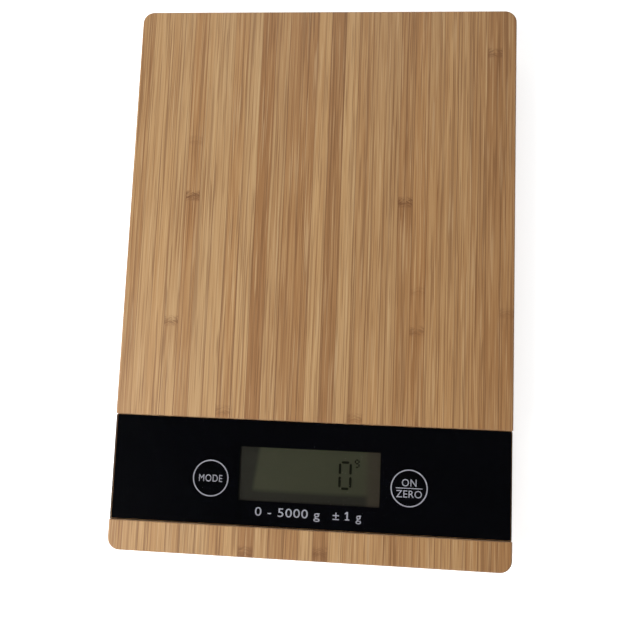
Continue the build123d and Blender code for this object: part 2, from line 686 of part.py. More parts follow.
def make_sensor_wires(corner, side):
    """Three wires from a load cell's gauge to the underside of the board."""
    sx, sy = side
    start_x = FOOT_X + GAUGE_END - GAP
    clear_x = FOOT_X - CELL_W / 2 - 0.2
    start_z = CELL_Z + CELL_T + WIRE_R + GAP
    with BuildPart() as wires:
        for place in (-1, 0, 1):
            s = place * WIRE_PITCH
            y = sy * FOOT_Y - s
            if sy < 0:
                tail = [(x, y, WIRE_UNDER_BOARD_Z) for x in FRONT_WIRE_XS]
                radius = 2.0
            else:
                tail = [
                    (REAR_WIRE_X + 7 + s, y, WIRE_LOW_Z),
                    (REAR_WIRE_X + s, y - 7, WIRE_LOW_Z),
                    (REAR_WIRE_X + s, -60, WIRE_LOW_Z),
                    (REAR_WIRE_X + s, -71, WIRE_UNDER_BOARD_Z),
                    (REAR_WIRE_X + s, -79, WIRE_UNDER_BOARD_Z),
                ]
                radius = 4.0
            points = [(start_x, y, start_z), (clear_x, y, start_z)] + tail
            with BuildLine() as route:
                FilletPolyline(*[(sx * px, py, pz) for px, py, pz in points], radius=radius)
            with BuildSketch(Plane(route.line @ 0, z_dir=route.line % 0)):
                Circle(WIRE_R)
            sweep(path=route.line)
    save(wires, f"sensor_wires_{corner}")


def make_battery_wires():
    """A wire from each battery contact's tail to the underside of the board."""
    tail_z = WELL_ROOF_Z - LEAF_T - 0.05 - WIRE_R
    with BuildPart() as wires:
        for sx in (-1, 1):
            points = [
                (sx * (TAIL_X - 0.6), CELL_Y, tail_z),
                (sx * (TAIL_X - 0.6), -54, tail_z),
                (sx * 15, -64, tail_z),
                (sx * 15, -76, WIRE_UNDER_BOARD_Z),
            ]
            with BuildLine() as route:
                FilletPolyline(*points, radius=4.0)
            with BuildSketch(Plane(route.line @ 0, z_dir=route.line % 0)):
                Circle(WIRE_R)
            sweep(path=route.line)
    save(wires, "battery_wires")


def main():
    os.makedirs("parts", exist_ok=True)
    make_platform()
    make_panel()
    make_lcd()
    make_board()
    make_key_springs()
    make_base_shell()
    make_screws(
        "base_screws",
        BASE_SCREWS,
        BASE_SCREW_SEAT_Z,
        BASE_SCREW_HEAD_R,
        BASE_SCREW_HEAD_T,
        BASE_SCREW_R,
        BASE_SCREW_TIP_Z,
    )
    for name, places, seat_z in (
        ("board_screws", BOARD_SCREWS, BOARD_Z),
        ("carrier_screws", CARRIER_SCREWS, CELL_Z + CELL_T),
    ):
        make_screws(name, places, seat_z, SMALL_HEAD_R, SMALL_HEAD_T, SMALL_SCREW_R, SMALL_SCREW_TIP_Z)
    make_rating_label()
    make_battery_door()
    make_coin_cell()
    make_battery_contacts()
    make_battery_wires()
    for corner, side in CORNERS.items():
        make_foot(corner, side)
        make_load_cell(corner, side)
        make_sensor_wires(corner, side)


main()
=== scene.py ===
"""Looks of a slim bamboo kitchen scale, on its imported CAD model. Lengths are in metres."""
import math

import bmesh
import bpy
from mathutils import Matrix, Vector


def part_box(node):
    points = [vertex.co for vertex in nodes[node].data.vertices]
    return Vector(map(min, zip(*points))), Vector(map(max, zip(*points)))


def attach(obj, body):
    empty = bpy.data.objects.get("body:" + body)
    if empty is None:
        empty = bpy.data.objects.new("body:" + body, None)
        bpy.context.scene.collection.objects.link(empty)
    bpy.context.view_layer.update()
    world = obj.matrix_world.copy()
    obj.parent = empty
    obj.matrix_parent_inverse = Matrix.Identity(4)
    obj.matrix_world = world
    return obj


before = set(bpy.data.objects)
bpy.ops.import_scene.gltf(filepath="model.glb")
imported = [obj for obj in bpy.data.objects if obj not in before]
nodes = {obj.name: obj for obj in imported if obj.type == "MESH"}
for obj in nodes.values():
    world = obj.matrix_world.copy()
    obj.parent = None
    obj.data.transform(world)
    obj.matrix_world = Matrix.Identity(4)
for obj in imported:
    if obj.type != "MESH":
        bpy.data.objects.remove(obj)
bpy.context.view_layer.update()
MM = 0.001

# The camera stands over the scale, a little to its right and front
CAMERA_AT = Vector((18.9, -40.4, 254.6)) * MM
CAMERA_AIM = Vector((2.5, -19.2, 17.0)) * MM
CAMERA_TURN = math.radians(2.22)
CAMERA_LENS = 32.08

# Places that the looks share, from the CAD
platform_low, platform_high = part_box("bamboo_platform")
mask_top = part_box("panel_mask")[1].z
lcd_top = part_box("lcd_cell")[1].z
PRINT_Z = mask_top + 0.01 * MM
PRINT_T = 0.02 * MM
FLOOR_SIZE = 6.0
FLOOR_DROP = 0.05 * MM  # below the feet, so that the two don't coincide

# The keys' print, in millimetres
PRINT_X = 0.35  # middle of the print
KEY_Y = -86.6
KEY_REACH = 41.0  # each key's distance from the middle of the print
KEY_RING_R = 7.5
KEY_RING_LINE = 0.45
KEY_RING_SIDES = 96
KEY_BAR_W = 10.8
KEY_BAR_D = 0.3
# The outline of the printed figure 1, from the middle of its foot
FIGURE_ONE = (
    (-0.9, 0.0), (0.9, 0.0), (0.9, 0.45), (0.28, 0.45), (0.28, 3.4), (-0.2, 3.4),
    (-1.0, 2.8), (-1.0, 2.3), (-0.28, 2.75), (-0.28, 0.45), (-0.9, 0.45),
)

# How much of a display figure's width and half height its level and upright bars fill
LEVEL_BAR_SHARE = 0.75
UPRIGHT_BAR_SHARE = 0.85
BAR_POINT_SHARE = 0.45  # how long a bar's point is, in bar widths

# Bamboo: the tone of each laminated strip from left to right, 0 dark and 1 light
STRIP_TONES = (
    0.54, 0.80, 0.77, 0.76, 0.52, 0.80, 0.80, 0.62, 0.88, 0.30, 0.66, 0.43, 0.42, 0.74,
    0.28, 0.84, 0.54, 0.64, 0.60, 0.42, 0.46, 0.60, 0.62, 0.58, 0.50, 0.36, 0.40,
)
STRIP_W = (platform_high.x - platform_low.x) / len(STRIP_TONES)
# The bamboo's knuckles: which strip, y in millimetres, and how strongly it shows
KNUCKLES = (
    (25, 98.3, 0.75), (4, 58.0, 0.25), (4, 33.2, 1.0), (19, 32.0, 1.0), (20, -5.6, 0.25), (26, -14.0, 0.35),
    (3, -21.5, 0.7), (20, -22.5, 0.6), (7, -58.5, 0.5), (16, -59.5, 0.5), (14, -113.5, 0.6), (9, -115.0, 0.7),
)
DARK_BAMBOO = (0.225, 0.105, 0.040)
RED_BAMBOO = (0.330, 0.170, 0.068)
MID_BAMBOO = (0.415, 0.240, 0.106)
PALE_BAMBOO = (0.500, 0.316, 0.152)
FIBRE_LINE = (0.170, 0.076, 0.030)
PALE_FLECK = (0.570, 0.385, 0.205)
KNUCKLE_BROWN = (0.165, 0.072, 0.028)
END_DARK = (0.250, 0.130, 0.060)
END_PALE = (0.460, 0.290, 0.150)
PORE_BROWN = (0.130, 0.062, 0.027)
KNUCKLE_CORE = 1.1 * MM  # a knuckle shows fully to this distance from its middle
KNUCKLE_FADE = 2.6 * MM  # and is gone at this one
KNUCKLE_SAG = 2.6 * MM  # its lines bend by this much from the strip's middle to its edge
KNUCKLE_SHADOW_L = 30.0 * MM  # length of the darker wood below it
STRIP_SEED_STEP = 7.37  # how far apart in the noise two neighbouring strips are taken
FIBRE_WANDER = 0.5 * MM  # how far the fibres stray sideways along a strip


# ---------------------------------------------------------------- camera and studio


def make_camera():
    """The camera at its place, turned to its aim and rolled about its view by CAMERA_TURN."""
    camera = bpy.data.objects.new("camera", bpy.data.cameras.new("camera"))
    bpy.context.collection.objects.link(camera)
    camera.data.lens = CAMERA_LENS
    camera.data.clip_start = 0.01
    back = (CAMERA_AT - CAMERA_AIM).normalized()
    hint = Vector((-math.sin(CAMERA_TURN), math.cos(CAMERA_TURN), 0))
    right = hint.cross(back).normalized()
    up = back.cross(right)
    turn = Matrix((right, up, back)).transposed()
    camera.matrix_world = Matrix.Translation(CAMERA_AT) @ turn.to_4x4()
    bpy.context.scene.camera = camera


def make_area_light(name, place, size, watts, colour=(1, 1, 1)):
    """A round light at place that faces the origin."""
    light = bpy.data.objects.new(name, bpy.data.lights.new(name, "AREA"))
    bpy.context.collection.objects.link(light)
    light.data.shape = "DISK"
    light.data.size = size
    light.data.energy = watts
    light.data.color = colour
    light.location = place
    light.rotation_mode = "QUATERNION"
    light.rotation_quaternion = Vector(place).to_track_quat("Z", "Y")


def make_studio():
    """A key light from the left, fills, a sky that is dark overhead, and a white floor."""
    make_area_light("key", (-0.70, -0.25, 0.58), 0.6, 9.5, (1.0, 0.98, 0.95))
    make_area_light("fill_right", (0.90, 0.10, 0.75), 0.8, 0.6, (0.96, 0.98, 1.0))
    make_area_light("fill_back", (-0.15, 0.95, 0.70), 0.8, 3.0)
    make_area_light("fill_front", (0.0, -0.95, 0.65), 0.8, 3.0)

    world = bpy.data.worlds.new("studio")
    bpy.context.scene.world = world
    world.use_nodes = True
    tree = world.node_tree
    background = tree.nodes["Background"]
    direction = tree.nodes.new("ShaderNodeTexCoord")
    height = tree.nodes.new("ShaderNodeSeparateXYZ")
    tree.links.new(direction.outputs["Generated"], height.inputs[0])
    shades = [(0.0, 1.0), (0.12, 1.0), (0.5, 0.62), (0.8, 0.10), (0.95, 0.02)]
    shade = ramp(tree, height.outputs["Z"], shades)
    tree.links.new(shade, background.inputs["Color"])
    background.inputs["Strength"].default_value = 0.62

    bpy.ops.mesh.primitive_plane_add(size=FLOOR_SIZE, location=(0, 0, -FLOOR_DROP))
    floor = bpy.context.object
    floor.name = "studio_floor"
    material, tree, shader = new_material("studio_floor")
    shader.inputs["Base Color"].default_value = (0.93, 0.93, 0.93, 1)
    shader.inputs["Roughness"].default_value = 0.9
    shader.inputs["Specular IOR Level"].default_value = 0.1
    shader.inputs["Emission Color"].default_value = (1, 1, 1, 1)
    shader.inputs["Emission Strength"].default_value = 0.6
    floor.data.materials.append(material)
    bpy.context.scene.view_settings.view_transform = "Standard"


# ---------------------------------------------------------------- node helpers


def new_material(name):
    material = bpy.data.materials.new(name)
    material.use_nodes = True
    tree = material.node_tree
    return material, tree, tree.nodes["Principled BSDF"]


def feed(tree, socket, value):
    """Links a socket to value if value is a socket, and otherwise sets it."""
    if isinstance(value, bpy.types.NodeSocket):
        tree.links.new(value, socket)
    else:
        socket.default_value = value


def maths(tree, operation, a, b=0.0, c=0.0, clamp=False):
    node = tree.nodes.new("ShaderNodeMath")
    node.operation = operation
    node.use_clamp = clamp
    for socket, value in zip(node.inputs, (a, b, c)):
        feed(tree, socket, value)
    return node.outputs[0]


def vector(tree, x, y, z):
    node = tree.nodes.new("ShaderNodeCombineXYZ")
    for socket, value in zip(node.inputs, (x, y, z)):
        feed(tree, socket, value)
    return node.outputs[0]


def noise(tree, place, scale=1.0, detail=2.0, roughness=0.5):
    node = tree.nodes.new("ShaderNodeTexNoise")
    feed(tree, node.inputs["Vector"], place)
    node.inputs["Scale"].default_value = scale
    node.inputs["Detail"].default_value = detail
    node.inputs["Roughness"].default_value = roughness
    return node.outputs[0]


def opaque(tone):
    """The RGBA value of a grey, given as one number, or of a colour."""
    return (tone, tone, tone, 1) if isinstance(tone, float) else (*tone, 1)


def ramp(tree, value, stops, steps=False):
    """A colour ramp through (place, grey or colour) stops."""
    node = tree.nodes.new("ShaderNodeValToRGB")
    node.color_ramp.interpolation = "CONSTANT" if steps else "LINEAR"
    elements = node.color_ramp.elements
    while len(elements) < len(stops):
        elements.new(1.0)
    for element, (position, tone) in zip(elements, sorted(stops)):
        element.position = position
        element.color = opaque(tone)
    feed(tree, node.inputs[0], value)
    return node.outputs[0]


def spread(tree, value, low, high, out_low=0.0, out_high=1.0):
    """Maps low to high onto out_low to out_high, and holds the ends beyond them."""
    node = tree.nodes.new("ShaderNodeMapRange")
    for socket, number in zip(node.inputs, (value, low, high, out_low, out_high)):
        feed(tree, socket, number)
    return node.outputs[0]


def blend(tree, amount, a, b, mode="MIX"):
    node = tree.nodes.new("ShaderNodeMix")
    node.data_type = "RGBA"
    node.blend_type = mode
    feed(tree, node.inputs["Factor"], amount)
    feed(tree, node.inputs["A"], a)
    feed(tree, node.inputs["B"], b)
    return node.outputs["Result"]


def bump(tree, shader, height, strength, distance):
    node = tree.nodes.new("ShaderNodeBump")
    node.inputs["Strength"].default_value = strength
    node.inputs["Distance"].default_value = distance
    feed(tree, node.inputs["Height"], height)
    tree.links.new(node.outputs[0], shader.inputs["Normal"])


def object_place(tree):
    """The place on the piece in its own frame, whole and as its three parts."""
    node = tree.nodes.new("ShaderNodeTexCoord")
    split = tree.nodes.new("ShaderNodeSeparateXYZ")
    tree.links.new(node.outputs["Object"], split.inputs[0])
    return node.outputs["Object"], split.outputs


# ---------------------------------------------------------------- materials


def knuckle_marks(tree, x, y, strip, in_strip, strip_seed):
    """Each knuckle's darker stretch of strip, and the fine lines that cross the strip at the knuckle."""
    shadow = 0.0
    marks = 0.0
    for own_strip, mark_y, weight in KNUCKLES:
        own = maths(tree, "COMPARE", strip, float(own_strip), 0.5)
        above = maths(tree, "SUBTRACT", y, mark_y * MM)
        near = spread(tree, maths(tree, "ABSOLUTE", above), KNUCKLE_CORE, KNUCKLE_FADE, weight, 0.0)
        below = spread(tree, above, -KNUCKLE_SHADOW_L, 0.0, 0.0, 0.30 * weight)
        below = maths(tree, "MULTIPLY", below, maths(tree, "LESS_THAN", above, 0.0))
        marks = maths(tree, "MULTIPLY_ADD", near, own, marks)
        shadow = maths(tree, "MULTIPLY_ADD", below, own, shadow)
    off_middle = maths(tree, "ABSOLUTE", maths(tree, "SUBTRACT", in_strip, 0.5))
    bent_y = maths(tree, "MULTIPLY_ADD", off_middle, KNUCKLE_SAG, y)
    line_place = vector(
        tree, maths(tree, "MULTIPLY", x, 420.0), maths(tree, "MULTIPLY", bent_y, 1500.0), strip_seed
    )
    lines = noise(tree, line_place, detail=3.0, roughness=0.7)
    lines = maths(tree, "MULTIPLY_ADD", off_middle, 0.16, lines)
    knot = maths(tree, "MULTIPLY", marks, spread(tree, lines, 0.47, 0.60, 0.12, 1.0), clamp=True)
    return shadow, knot


def bamboo_material():
    """Vertical strips, each with its own tone and fibres, knuckle marks, and pores on the sawn ends."""
    material, tree, shader = new_material("bamboo")
    place, (x, y, z) = object_place(tree)
    count = len(STRIP_TONES)
    across = maths(tree, "DIVIDE", maths(tree, "SUBTRACT", x, platform_low.x), STRIP_W)
    strip = maths(tree, "FLOOR", across)
    in_strip = maths(tree, "SUBTRACT", across, strip)
    tones = [(i / count, tone) for i, tone in enumerate(STRIP_TONES)]
    tone = ramp(tree, maths(tree, "DIVIDE", maths(tree, "ADD", strip, 0.5), count), tones, steps=True)
    strip_seed = maths(tree, "MULTIPLY", strip, STRIP_SEED_STEP)

    wander = noise(tree, vector(tree, strip_seed, maths(tree, "MULTIPLY", y, 14.0), 0.0))
    x_bent = maths(tree, "MULTIPLY_ADD", wander, FIBRE_WANDER, x)

    def fibres(per_metre, along, detail, seed):
        """Streaks, per_metre across the strips and along their length, that differ from strip to strip."""
        fx = maths(tree, "MULTIPLY", x_bent, per_metre)
        fy = maths(tree, "MULTIPLY_ADD", y, along, maths(tree, "MULTIPLY", strip_seed, seed))
        fz = maths(tree, "MULTIPLY_ADD", z, per_metre, strip_seed)
        return noise(tree, vector(tree, fx, fy, fz), detail=detail, roughness=0.6)

    fine = fibres(2100.0, 24.0, 2.0, 1.0)
    broad = fibres(420.0, 3.0, 1.0, 1.7)
    lines = fibres(1150.0, 9.0, 1.0, 2.3)
    dashes = fibres(1900.0, 30.0, 1.0, 4.3)
    flecks = fibres(1700.0, 26.0, 1.0, 3.1)
    lined = spread(tree, noise(tree, vector(tree, strip_seed, 5.0, 0.0)), 0.35, 0.65, 0.4, 1.0)
    drift = noise(tree, vector(tree, strip_seed, maths(tree, "MULTIPLY", y, 9.0), 3.0))
    hue = noise(tree, vector(tree, strip_seed, 11.0, maths(tree, "MULTIPLY", y, 3.0)))

    # The strip's tone, varied by its fibres, chooses the wood's colour
    shadow, knot = knuckle_marks(tree, x, y, strip, in_strip, strip_seed)
    body = spread(tree, tone, 0.2, 0.8, 0.27, 0.84)
    body = maths(tree, "MULTIPLY_ADD", maths(tree, "SUBTRACT", fine, 0.5), 1.2, body)
    body = maths(tree, "MULTIPLY_ADD", maths(tree, "SUBTRACT", broad, 0.5), 0.15, body)
    body = maths(tree, "MULTIPLY_ADD", maths(tree, "SUBTRACT", drift, 0.5), 0.20, body)
    body = maths(tree, "SUBTRACT", body, shadow)
    wood = [(0.0, DARK_BAMBOO), (0.4, RED_BAMBOO), (0.7, MID_BAMBOO), (1.0, PALE_BAMBOO)]
    colour = ramp(tree, body, wood)
    tint = ramp(tree, hue, [(0.35, (1.0, 0.97, 0.92)), (0.65, (0.98, 1.0, 1.02))])
    colour = blend(tree, 1.0, colour, tint, "MULTIPLY")
    # Dark lines, long ones in some strips more than in others, and pale flecks
    long_line = maths(tree, "MULTIPLY", spread(tree, lines, 0.57, 0.63, 0.0, 0.70), lined)
    short_line = spread(tree, dashes, 0.58, 0.66, 0.0, 0.50)
    colour = blend(tree, maths(tree, "MAXIMUM", long_line, short_line), colour, opaque(FIBRE_LINE))
    colour = blend(tree, spread(tree, flecks, 0.58, 0.68, 0.0, 0.42), colour, opaque(PALE_FLECK))

    # Glue joints between the strips, broken along their length, and the knuckles
    edge = maths(tree, "MINIMUM", in_strip, maths(tree, "SUBTRACT", 1.0, in_strip))
    joint = spread(tree, edge, 0.015, 0.045, 0.8, 0.0)
    joint = maths(tree, "MULTIPLY", joint, spread(tree, drift, 0.35, 0.6, 0.2, 1.0))
    colour = blend(tree, joint, colour, opaque(FIBRE_LINE))
    colour = blend(tree, maths(tree, "MULTIPLY", knot, 0.9), colour, opaque(KNUCKLE_BROWN))

    # Painted shade darkens the rounded edges and the side walls, by how far they turn from facing up, and the
    # ends sawn across the fibres show pores
    facing = tree.nodes.new("ShaderNodeSeparateXYZ")
    tree.links.new(tree.nodes["Texture Coordinate"].outputs["Normal"], facing.inputs[0])
    # painted shade on the faces that turn away from up
    painted_edge_shade = spread(tree, maths(tree, "ABSOLUTE", facing.outputs["Z"]), 0.75, 0.98, 0.35, 0.0)
    colour = blend(tree, painted_edge_shade, colour, opaque(FIBRE_LINE))
    sawn_end = spread(tree, maths(tree, "ABSOLUTE", facing.outputs["Y"]), 0.6, 0.9)
    pores = tree.nodes.new("ShaderNodeTexVoronoi")
    pores.inputs["Scale"].default_value = 1500.0
    tree.links.new(place, pores.inputs["Vector"])
    pore = spread(tree, pores.outputs["Distance"], 0.18, 0.42, 0.75, 0.0)
    end_tone = ramp(tree, tone, [(0.0, END_DARK), (1.0, END_PALE)])
    end_base = blend(tree, 0.35, end_tone, colour)
    end_colour = blend(tree, pore, end_base, opaque(PORE_BROWN))
    colour = blend(tree, sawn_end, colour, end_colour)

    tree.links.new(colour, shader.inputs["Base Color"])
    tree.links.new(spread(tree, fine, 0.2, 0.8, 0.42, 0.56), shader.inputs["Roughness"])
    shader.inputs["Specular IOR Level"].default_value = 0.35
    relief = maths(tree, "MULTIPLY_ADD", lines, 0.6, fine)
    bump(tree, shader, relief, 0.25, 0.04 * MM)
    return material


def moulded_material(name, colour, roughness, grain=1400.0, depth=0.02 * MM, specular=0.5):
    """Plastic, rubber or film: a fine moulded grain with a slight drift of tone and gloss."""
    material, tree, shader = new_material(name)
    place, _ = object_place(tree)
    drift = noise(tree, place, scale=22.0, detail=3.0)
    fine = noise(tree, place, scale=grain, detail=2.0, roughness=0.6)
    darker = tuple(0.82 * c for c in colour)
    lighter = tuple(min(1.0, 1.15 * c) for c in colour)
    tree.links.new(ramp(tree, drift, [(0.3, darker), (0.7, lighter)]), shader.inputs["Base Color"])
    gloss = spread(tree, fine, 0.25, 0.75, roughness - 0.06, roughness + 0.06)
    tree.links.new(gloss, shader.inputs["Roughness"])
    shader.inputs["Specular IOR Level"].default_value = specular
    bump(tree, shader, fine, 0.5, depth)
    return material


def metal_material(name, colour, roughness, brushed_per_metre=900.0):
    """Plated or brushed metal with fine lines along X and faint stains."""
    material, tree, shader = new_material(name)
    place, (x, y, z) = object_place(tree)
    line_place = vector(
        tree,
        maths(tree, "MULTIPLY", x, 40.0),
        maths(tree, "MULTIPLY", y, brushed_per_metre),
        maths(tree, "MULTIPLY", z, brushed_per_metre),
    )
    lines = noise(tree, line_place, detail=2.0)
    stain = noise(tree, place, scale=120.0, detail=3.0)
    darker = tuple(0.72 * c for c in colour)
    tree.links.new(ramp(tree, stain, [(0.3, darker), (0.6, colour)]), shader.inputs["Base Color"])
    gloss = spread(tree, lines, 0.3, 0.7, roughness - 0.08, roughness + 0.1)
    tree.links.new(gloss, shader.inputs["Roughness"])
    shader.inputs["Metallic"].default_value = 1.0
    bump(tree, shader, lines, 0.25, 0.01 * MM)
    return material


def glass_material():
    """Clear panel sheet, polished, with faint wiped smears that soften its reflections."""
    material, tree, shader = new_material("panel_glass")
    _, (x, y, z) = object_place(tree)
    smear_place = vector(tree, maths(tree, "MULTIPLY_ADD", y, 0.6, x), maths(tree, "MULTIPLY", y, 0.35), z)
    smears = noise(tree, smear_place, scale=38.0, detail=4.0, roughness=0.6)
    tree.links.new(spread(tree, smears, 0.45, 0.75, 0.0, 0.035), shader.inputs["Roughness"])
    shader.inputs["Base Color"].default_value = (0.96, 0.97, 0.97, 1)
    shader.inputs["IOR"].default_value = 1.47
    shader.inputs["Transmission Weight"].default_value = 1.0
    return material


def lcd_material():
    """Olive display glass, darker down its left side and along its foot, where the panel's edge shades it."""
    material, tree, shader = new_material("display_glass")
    place, (x, y, _) = object_place(tree)
    grain = noise(tree, place, scale=2600.0, detail=1.0)
    drift = noise(tree, place, scale=40.0, detail=2.0)
    bend = maths(tree, "MULTIPLY", maths(tree, "SUBTRACT", drift, 0.5), 1.2 * MM)
    slant = maths(tree, "MULTIPLY_ADD", y, -0.14, maths(tree, "ADD", x, bend))
    left = spread(tree, slant, -11.2 * MM, -9.6 * MM)
    foot = spread(tree, maths(tree, "ADD", y, bend), -91.6 * MM, -89.8 * MM)
    # a brownish strip down the right side is a painted reflection
    right = spread(tree, x, 23.2 * MM, 25.2 * MM, 1.0, 0.0)
    lit = maths(tree, "MULTIPLY", left, foot)
    colour = blend(tree, lit, opaque((0.0095, 0.0090, 0.0066)), opaque((0.0245, 0.0252, 0.0148)))
    colour = blend(tree, maths(tree, "SUBTRACT", 1.0, right), colour, opaque((0.0210, 0.0172, 0.0118)))
    colour = blend(tree, spread(tree, grain, 0.3, 0.7, 0.0, 0.10), colour, opaque((0.034, 0.034, 0.021)))
    shader.inputs["Specular IOR Level"].default_value = 0.1
    tree.links.new(colour, shader.inputs["Base Color"])
    tree.links.new(spread(tree, grain, 0.3, 0.7, 0.30, 0.42), shader.inputs["Roughness"])
    return material


def board_material():
    """Green circuit board with faint tracks."""
    material, tree, shader = new_material("circuit_board")
    place, _ = object_place(tree)
    tracks = tree.nodes.new("ShaderNodeTexBrick")
    tracks.inputs["Scale"].default_value = 180.0
    tracks.inputs["Mortar Size"].default_value = 0.04
    tracks.inputs["Color1"].default_value = (0.012, 0.085, 0.030, 1)
    tracks.inputs["Color2"].default_value = (0.014, 0.095, 0.034, 1)
    tracks.inputs["Mortar"].default_value = (0.035, 0.16, 0.06, 1)
    tree.links.new(place, tracks.inputs["Vector"])
    tree.links.new(tracks.outputs["Color"], shader.inputs["Base Color"])
    drift = noise(tree, place, scale=60.0)
    tree.links.new(spread(tree, drift, 0.3, 0.7, 0.25, 0.4), shader.inputs["Roughness"])
    return material


def battery_wire_material():
    """Red insulation on the right wire and black on the left."""
    material, tree, shader = new_material("battery_wire")
    place, (x, _, _) = object_place(tree)
    side = spread(tree, x, -MM, MM)
    tone = noise(tree, place, scale=300.0)
    red = ramp(tree, tone, [(0.3, (0.32, 0.012, 0.010)), (0.7, (0.42, 0.02, 0.016))])
    black = ramp(tree, tone, [(0.3, (0.010, 0.010, 0.011)), (0.7, (0.018, 0.018, 0.020))])
    tree.links.new(blend(tree, side, black, red), shader.inputs["Base Color"])
    tree.links.new(spread(tree, tone, 0.3, 0.7, 0.35, 0.5), shader.inputs["Roughness"])
    return material


def sensor_wire_material():
    """Pale insulation with a slight drift of tone."""
    material, tree, shader = new_material("sensor_wire")
    place, _ = object_place(tree)
    tone = noise(tree, place, scale=300.0)
    pale = ramp(tree, tone, [(0.3, (0.50, 0.50, 0.48)), (0.7, (0.62, 0.61, 0.58))])
    tree.links.new(pale, shader.inputs["Base Color"])
    tree.links.new(spread(tree, tone, 0.3, 0.7, 0.35, 0.5), shader.inputs["Roughness"])
    return material


def paint(material, *names):
    for name in names:
        for slot in nodes[name].material_slots:
            slot.material = material


def paint_nodes():
    corners = ("front_left", "front_right", "rear_left", "rear_right")

    def at_corners(stem):
        return [f"{stem}_{corner}" for corner in corners]

    paint(bamboo_material(), "bamboo_platform")
    paint(glass_material(), "display_panel")
    nodes["display_panel"].visible_shadow = False
    black_print = moulded_material(
        "black_print", (0.0008, 0.0009, 0.0015), 0.9, depth=0.001 * MM, specular=0.0
    )
    paint(black_print, "panel_mask")
    paint(moulded_material("clear_adhesive", (0.10, 0.10, 0.09), 0.5), "panel_tape")
    paint(lcd_material(), "lcd_cell")
    paint(moulded_material("reflector_film", (0.16, 0.16, 0.10), 0.5), "lcd_reflector")
    white_plastic = moulded_material("white_plastic", (0.68, 0.68, 0.65), 0.45)
    paint(white_plastic, "lcd_frame", *at_corners("cell_carrier"))
    paint(moulded_material("contact_rubber", (0.50, 0.22, 0.25), 0.6), "zebra_strip")
    paint(moulded_material("foam", (0.03, 0.03, 0.03), 0.9, 700.0, 0.1 * MM), "lcd_support_foam")
    paint(board_material(), "main_board")
    paint(moulded_material("resin", (0.006, 0.006, 0.007), 0.2), "chip_resin")
    paint(moulded_material("chip_ceramic", (0.30, 0.20, 0.12), 0.4), "board_components")
    bright = metal_material("bright_nickel", (0.62, 0.61, 0.58), 0.22)
    paint(bright, "coin_cell", "clock_crystal")
    spring = metal_material("spring_steel", (0.50, 0.50, 0.50), 0.3)
    paint(spring, "unit_key_spring", "tare_key_spring", *at_corners("load_cell"))
    paint(spring, "battery_contact_negative", "battery_contact_positive")
    zinc = metal_material("zinc_screw", (0.20, 0.20, 0.21), 0.35)
    paint(zinc, "base_screws", "board_screws", "carrier_screws")
    black = moulded_material("black_plastic", (0.011, 0.011, 0.012), 0.48, 1300.0, 0.03 * MM)
    paint(black, "base_shell", "battery_door", *at_corners("foot"))
    rubber = moulded_material("rubber", (0.030, 0.030, 0.031), 0.75, 900.0, 0.04 * MM)
    paint(rubber, *at_corners("foot_pad"))
    paint(moulded_material("silicone", (0.72, 0.71, 0.66), 0.35), *at_corners("strain_gauge"))
    label_film = moulded_material("label_film", (0.46, 0.47, 0.48), 0.32, 2400.0, 0.004 * MM)
    paint(label_film, "rating_label")
    paint(sensor_wire_material(), *at_corners("sensor_wires"))
    paint(battery_wire_material(), "battery_wires")


# ---------------------------------------------------------------- print and display figures


def add_piece(name, mesh, material):
    """A printed piece that rides on the housing."""
    piece = bpy.data.objects.new(name, mesh)
    bpy.context.collection.objects.link(piece)
    mesh.materials.clear()
    mesh.materials.append(material)
    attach(piece, "housing")


def prisms(name, outlines, low, high):
    """A mesh of closed upright prisms over flat outlines, each a list of (x, y)."""
    shape = bmesh.new()
    for outline in outlines:
        foot, top = ([shape.verts.new((x, y, z)) for x, y in outline] for z in (low, high))
        shape.faces.new(foot)
        shape.faces.new(top)
        for i in range(len(outline)):
            shape.faces.new((foot[i - 1], foot[i], top[i], top[i - 1]))
    bmesh.ops.recalc_face_normals(shape, faces=shape.faces)
    mesh = bpy.data.meshes.new(name)
    shape.to_mesh(mesh)
    shape.free()
    return mesh


def rectangle(left, near, right, far):
    return [(left, near), (right, near), (right, far), (left, far)]


def lettering(name, words, middle, width, height, material, spacing=1.0):
    """Flat printed words on the panel's black print, filling a box of that width and height."""
    curve = bpy.data.curves.new(name, "FONT")
    curve.body = words
    curve.space_character = spacing
    curve.extrude = 0.5
    curve.resolution_u = 6
    maker = bpy.data.objects.new(name, curve)
    bpy.context.collection.objects.link(maker)
    mesh = bpy.data.meshes.new_from_object(maker.evaluated_get(bpy.context.evaluated_depsgraph_get()))
    bpy.data.objects.remove(maker)
    places = [v.co.copy() for v in mesh.vertices]
    lowest = Vector(min(p[i] for p in places) for i in range(3))
    highest = Vector(max(p[i] for p in places) for i in range(3))
    for vertex in mesh.vertices:
        share = [(vertex.co[i] - lowest[i]) / (highest[i] - lowest[i]) for i in range(3)]
        vertex.co = (
            middle[0] + (share[0] - 0.5) * width,
            middle[1] + (share[1] - 0.5) * height,
            PRINT_Z + share[2] * PRINT_T,
        )
    add_piece(name, mesh, material)


def key_ring(name, x, y, material):
    """A flat printed ring round a key."""
    shape = bmesh.new()
    angles = [2 * math.pi * i / KEY_RING_SIDES for i in range(KEY_RING_SIDES)]
    outer = KEY_RING_R * MM
    inner = (KEY_RING_R - KEY_RING_LINE) * MM
    top = PRINT_Z + PRINT_T
    rows = []
    for radius, z in ((outer, PRINT_Z), (outer, top), (inner, top), (inner, PRINT_Z)):
        places = [(x + radius * math.cos(a), y + radius * math.sin(a), z) for a in angles]
        rows.append([shape.verts.new(place) for place in places])
    for row, following in zip(rows, rows[1:] + rows[:1]):
        for i in range(KEY_RING_SIDES):
            shape.faces.new((row[i], row[i - 1], following[i - 1], following[i]))
    bmesh.ops.recalc_face_normals(shape, faces=shape.faces)
    mesh = bpy.data.meshes.new(name)
    shape.to_mesh(mesh)
    shape.free()
    add_piece(name, mesh, material)


